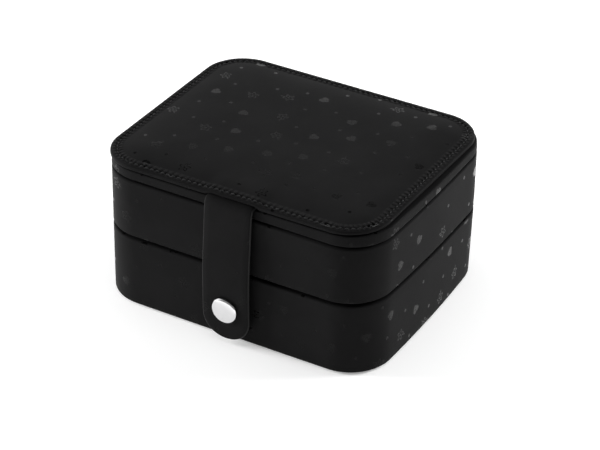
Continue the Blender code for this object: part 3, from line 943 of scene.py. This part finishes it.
STRIP_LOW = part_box("lower_hinge_leaf")[0].z
STRIP_MIDDLE = (UPPER[0] + UPPER[1]) / 2
STRIP_HIGH = LID[1] + 0.2 * MM
hinge_strip(
    "back_strip_lower",
    ("lower_case", "upper_case", "upper_case_hinge"),
    (STRIP_LOW, STRIP_MIDDLE),
    "lower_hinge_leaf",
    "upper_hinge_leaf",
)
hinge_strip(
    "back_strip_upper",
    ("upper_case", "lid", "lid_hinge"),
    (STRIP_MIDDLE, STRIP_HIGH),
    "lid_hinge_leaf",
)


# ---------------------------------------------------------------- the snap button

cap_low, cap_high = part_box("snap_cap")
SNAP = (cap_low + cap_high) / 2
CAP_RADIUS = (cap_high.x - cap_low.x) / 2
CAP_SQUARENESS = 2.15


def lathe(name, profile, steps=72):
    """A round piece on the snap's axis, along Y, from (radius, y) points."""
    angles = [math.tau * k / steps for k in range(steps)]
    rows = [[(SNAP.x + r * math.cos(a), y, SNAP.z + r * math.sin(a)) for a in angles] for r, y in profile]
    us = [a * profile[0][0] for a in angles] + [0.0]
    return skinned(name, rows, us, lengths(profile), smooth_angle=50)


def snap_cap():
    """The domed cap, nearly flat in the middle, with its rolled rim and its neck behind."""
    seat = FRONT - STRAP_OUT - 0.05 * MM
    neck_radius, neck_length = 1.6 * MM, 2.4 * MM
    roll, skirt = 0.45 * MM, 0.35 * MM
    profile = [(neck_radius, seat + neck_length), (neck_radius, seat), (CAP_RADIUS - roll, seat)]
    profile += arc((CAP_RADIUS - roll, seat - roll), roll, 75, 0, 3)
    dome_edge = seat - roll - skirt
    dome_steps = 20
    for i in range(dome_steps):
        share = math.cos(math.pi / 2 * i / dome_steps) ** 0.8
        rise = (1 - share**CAP_SQUARENESS) ** (1 / CAP_SQUARENESS)
        profile.append((CAP_RADIUS * share, dome_edge - (dome_edge - cap_low.y) * rise))
    piece = lathe("snap_dome", profile)
    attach(piece, "strap")
    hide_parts("snap_cap")
    return paint(piece, CHROME)


snap_cap()
paint_cad(["snap_socket", "snap_stud", "snap_post"], CHROME)


# ---------------------------------------------------------------- velvet insides


def velvet_tray(name, node, body):
    """A tray's lining, with a soft fillet where its walls meet its floor."""
    low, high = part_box(node)
    thick, fillet, soft = 0.8 * MM, 2.2 * MM, 0.3 * MM
    outer = HALF_WIDTH - high.x
    inner = outer + thick
    middle = 40 * MM
    bed = low.z + thick
    profile = [(middle, low.z), (outer, low.z), (outer, high.z - soft)]
    profile += [(outer + thick / 2, high.z), (inner, high.z - soft)]
    profile = uneven(profile, 6 * MM)
    profile += arc((inner + fillet, bed + fillet), fillet, 180, 270, 6)
    profile += [(12 * MM, bed), (20 * MM, bed), (middle, bed)]
    piece = swept(name, profile, ring=False)
    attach(piece, body)
    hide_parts(node)
    return paint(piece, VELVET)


def wrapped_board(name, low, high, seed):
    """A velvet-wrapped board: a box with rounded edges and slightly uneven faces."""
    edge, wave = 1.25 * MM, 0.18 * MM
    mesh = bmesh.new()
    mesh.loops.layers.uv.new("sheet")
    bmesh.ops.create_cube(mesh, size=1.0)
    size, middle = high - low, (high + low) / 2
    for vert in mesh.verts:
        vert.co = Vector([middle[k] + vert.co[k] * size[k] for k in range(3)])
    bmesh.ops.bevel(mesh, geom=list(mesh.edges), offset=edge, segments=4, profile=0.5, affect="EDGES")
    for axis in range(3):
        count = int(size[axis] / (5 * MM))
        for i in range(1, count):
            place = low.copy()
            place[axis] = low[axis] + size[axis] * i / count
            normal = [float(k == axis) for k in range(3)]
            geometry = list(mesh.verts) + list(mesh.edges) + list(mesh.faces)
            bmesh.ops.bisect_plane(mesh, geom=geometry, plane_co=place, plane_no=normal)
    mesh.normal_update()
    for vert in mesh.verts:
        dent = 0.5 + 0.5 * noise.noise(vert.co / (7 * MM) + Vector((seed, 0, 0)))
        vert.co -= vert.normal * (wave * dent)
    return new_object(name, mesh, 60)


def dividers(body, layer, places, seed):
    """The wrapped dividers of one tray."""
    for count, place in enumerate(places):
        node = f"{layer}_divider_{place}"
        low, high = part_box(node)
        piece = wrapped_board(f"{node}_wrap", low, high, seed + count)
        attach(piece, body)
        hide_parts(node)
        paint(piece, VELVET)


# The rolls' gathered ends: how far they reach, their size at the very end, and the depth of their folds,
# with the unevenness of the whole roll. The last three are shares of the roll's own size.
END_REACH = 2.6 * MM
END_SIZE = 0.62
GATHER = 0.06
ROLL_WAVE = 0.018


def ring_roll(index):
    """A foam roll in velvet: flat foot, round top, ends gathered in."""
    node = f"ring_roll_{index}"
    low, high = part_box(node)
    half = (high.y - low.y) / 2
    middle_y = (low.y + high.y) / 2
    centre_z = high.z - half
    middle_z = (low.z + high.z) / 2
    foot = [(0.82 * half, low.z), (0.97 * half, low.z + 0.8 * MM)]
    foot += [(half, low.z + 3 * MM), (half, centre_z - 3 * MM)]
    outline = foot + arc((0, centre_z), half, 0, 180, 18) + [(-y, z) for y, z in reversed(foot)]
    count = 30
    rows, vs = [], []
    for i in range(count + 1):
        share = 0.5 - 0.5 * math.cos(math.pi * i / count)
        x = low.x + (high.x - low.x) * share
        inward = min(x - low.x, high.x - x)
        turn = clamped(inward / END_REACH)
        scale = END_SIZE + (1 - END_SIZE) * math.sqrt(1 - (1 - turn) ** 2)
        row = []
        for k, (dy, z) in enumerate(outline):
            gather = GATHER * (1 - turn) * math.cos(k * math.tau / 3)
            wave = ROLL_WAVE * noise.noise(Vector((x / (8 * MM), k * 0.4, index * 3.1)))
            size = min(scale - abs(wave) + gather * scale, 1)
            row.append((x, middle_y + dy * size, middle_z + (z - middle_z) * size))
        rows.append(row)
        vs.append(x)
    us = [0.0, *np.cumsum([math.dist(a, b) for a, b in zip(outline, outline[1:] + outline[:1])])]
    piece = skinned(f"ring_cushion_{index}", rows, us, vs, smooth_angle=60)
    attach(piece, "upper_case")
    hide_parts(node)
    return paint(piece, VELVET)


velvet_tray("lower_velvet_tray", "lower_lining", "lower_case")
velvet_tray("upper_velvet_tray", "upper_lining", "upper_case")
dividers("lower_case", "lower", ["long", "front", "back"], 0.0)
dividers("upper_case", "upper", ["left", "right", "centre", "left_cross", "right_cross"], 10.0)
for roll in range(1, 8):
    ring_roll(roll)
paint_cad(["lid_lining", "upper_underside", "base_pad", "mirror_frame"], VELVET)
paint_cad(["lower_shell", "upper_shell", "lid_shell"], fibreboard())
paint_cad(["mirror"], mirror_glass())


# ---------------------------------------------------------------- floor, light and camera

# Emission of the floor near the box and far away, between two distances in millimetres, and the world's
# strength at the white walls and at the ceiling, and the share of it that is left on the camera's side.
FLOOR_GLOW, FAR_GLOW = 0.29, 0.8
GLOW_START, GLOW_END = 900.0, 2600.0
WALL_GLOW, CEILING_GLOW = 1.3, 0.015
OPEN_SIDE_SHARE = 0.2
CAMERA_AZIMUTH = math.radians(29.58)
CAMERA_ELEVATION = math.radians(32.24)
CAMERA_ROLL = math.radians(0.9)
CAMERA_DISTANCE = 1.2218
CAMERA_TARGET = Vector((-0.01826, 0.03770, 0.0))
CAMERA_LENS = 141.3
CAMERA_SHIFT = 0.011


def floor():
    """A lit white sheet, brighter far away, where the soft lights don't reach."""
    mesh = bmesh.new()
    bmesh.ops.create_grid(mesh, x_segments=2, y_segments=2, size=6.0)
    made = new_object("studio_floor", mesh)
    graph = Graph("studio_floor")
    away = graph.vector("LENGTH", graph.place())
    glow = graph.ramp(away, GLOW_START, GLOW_END, FLOOR_GLOW, FAR_GLOW)
    white, light = (0.9, 0.9, 0.9), (1.0, 1.0, 1.0)
    graph.look(Base_Color=white, Roughness=0.9, Specular_IOR_Level=0.1)
    made.data.materials.append(graph.look(Emission_Color=light, Emission_Strength=glow))


def softbox(name, place, target, side, power):
    """A square soft light, which doesn't show in the chrome and the lacquer."""
    light = bpy.data.lights.new(name, "AREA")
    light.shape = "SQUARE"
    light.size = side
    light.energy = power
    made = bpy.data.objects.new(name, light)
    made.location = place
    made.rotation_euler = (Vector(target) - Vector(place)).to_track_quat("-Z", "Y").to_euler()
    made.visible_glossy = False
    bpy.context.scene.collection.objects.link(made)


def studio():
    """White walls, a dark ceiling and a dim camera side for the world, and three soft lights."""
    world = bpy.data.worlds.new("studio")
    nodes = Nodes(world)
    direction = nodes.add("ShaderNodeTexCoord").outputs["Generated"]
    height = nodes.split(direction)[2]
    to_camera = nodes.vector("DOT_PRODUCT", direction, (0.49, -0.87, 0.0))
    walls = nodes.ramp(height, 0.38, 0.62, WALL_GLOW, CEILING_GLOW)
    open_side = nodes.ramp(to_camera, -0.1, 0.6, 1.0, OPEN_SIDE_SHARE)
    background = nodes.tree.nodes["Background"]
    nodes.feed(background.inputs["Color"], (1, 1, 1, 1))
    nodes.feed(background.inputs["Strength"], nodes.math("MULTIPLY", walls, open_side))
    bpy.context.scene.world = world
    softbox("overhead", (0.1, -0.2, 1.8), (0, 0, 0.03), 1.6, 9)
    softbox("left_front", (-1.45, -0.5, 0.45), (0, -0.06, 0.04), 0.7, 40)
    softbox("back_right", (1.1, 1.1, 0.9), (0.15, 0.1, 0.0), 0.8, 28)
    bpy.context.scene.view_settings.view_transform = "Standard"


def camera():
    """The camera, aimed from its azimuth and elevation, with a slight roll about its own axis."""
    level_share = math.cos(CAMERA_ELEVATION)
    back = Vector(
        (
            math.sin(CAMERA_AZIMUTH) * level_share,
            -math.cos(CAMERA_AZIMUTH) * level_share,
            math.sin(CAMERA_ELEVATION),
        )
    )
    data = bpy.data.cameras.new("camera")
    data.sensor_width = 36.0
    data.lens = CAMERA_LENS
    data.shift_y = CAMERA_SHIFT
    made = bpy.data.objects.new("camera", data)
    made.location = CAMERA_TARGET + back * CAMERA_DISTANCE
    made.rotation_mode = "QUATERNION"
    made.rotation_quaternion = (-back).to_track_quat("-Z", "Y") @ Quaternion((0, 0, 1), CAMERA_ROLL)
    bpy.context.scene.collection.objects.link(made)
    bpy.context.scene.camera = made


floor()
studio()
camera()
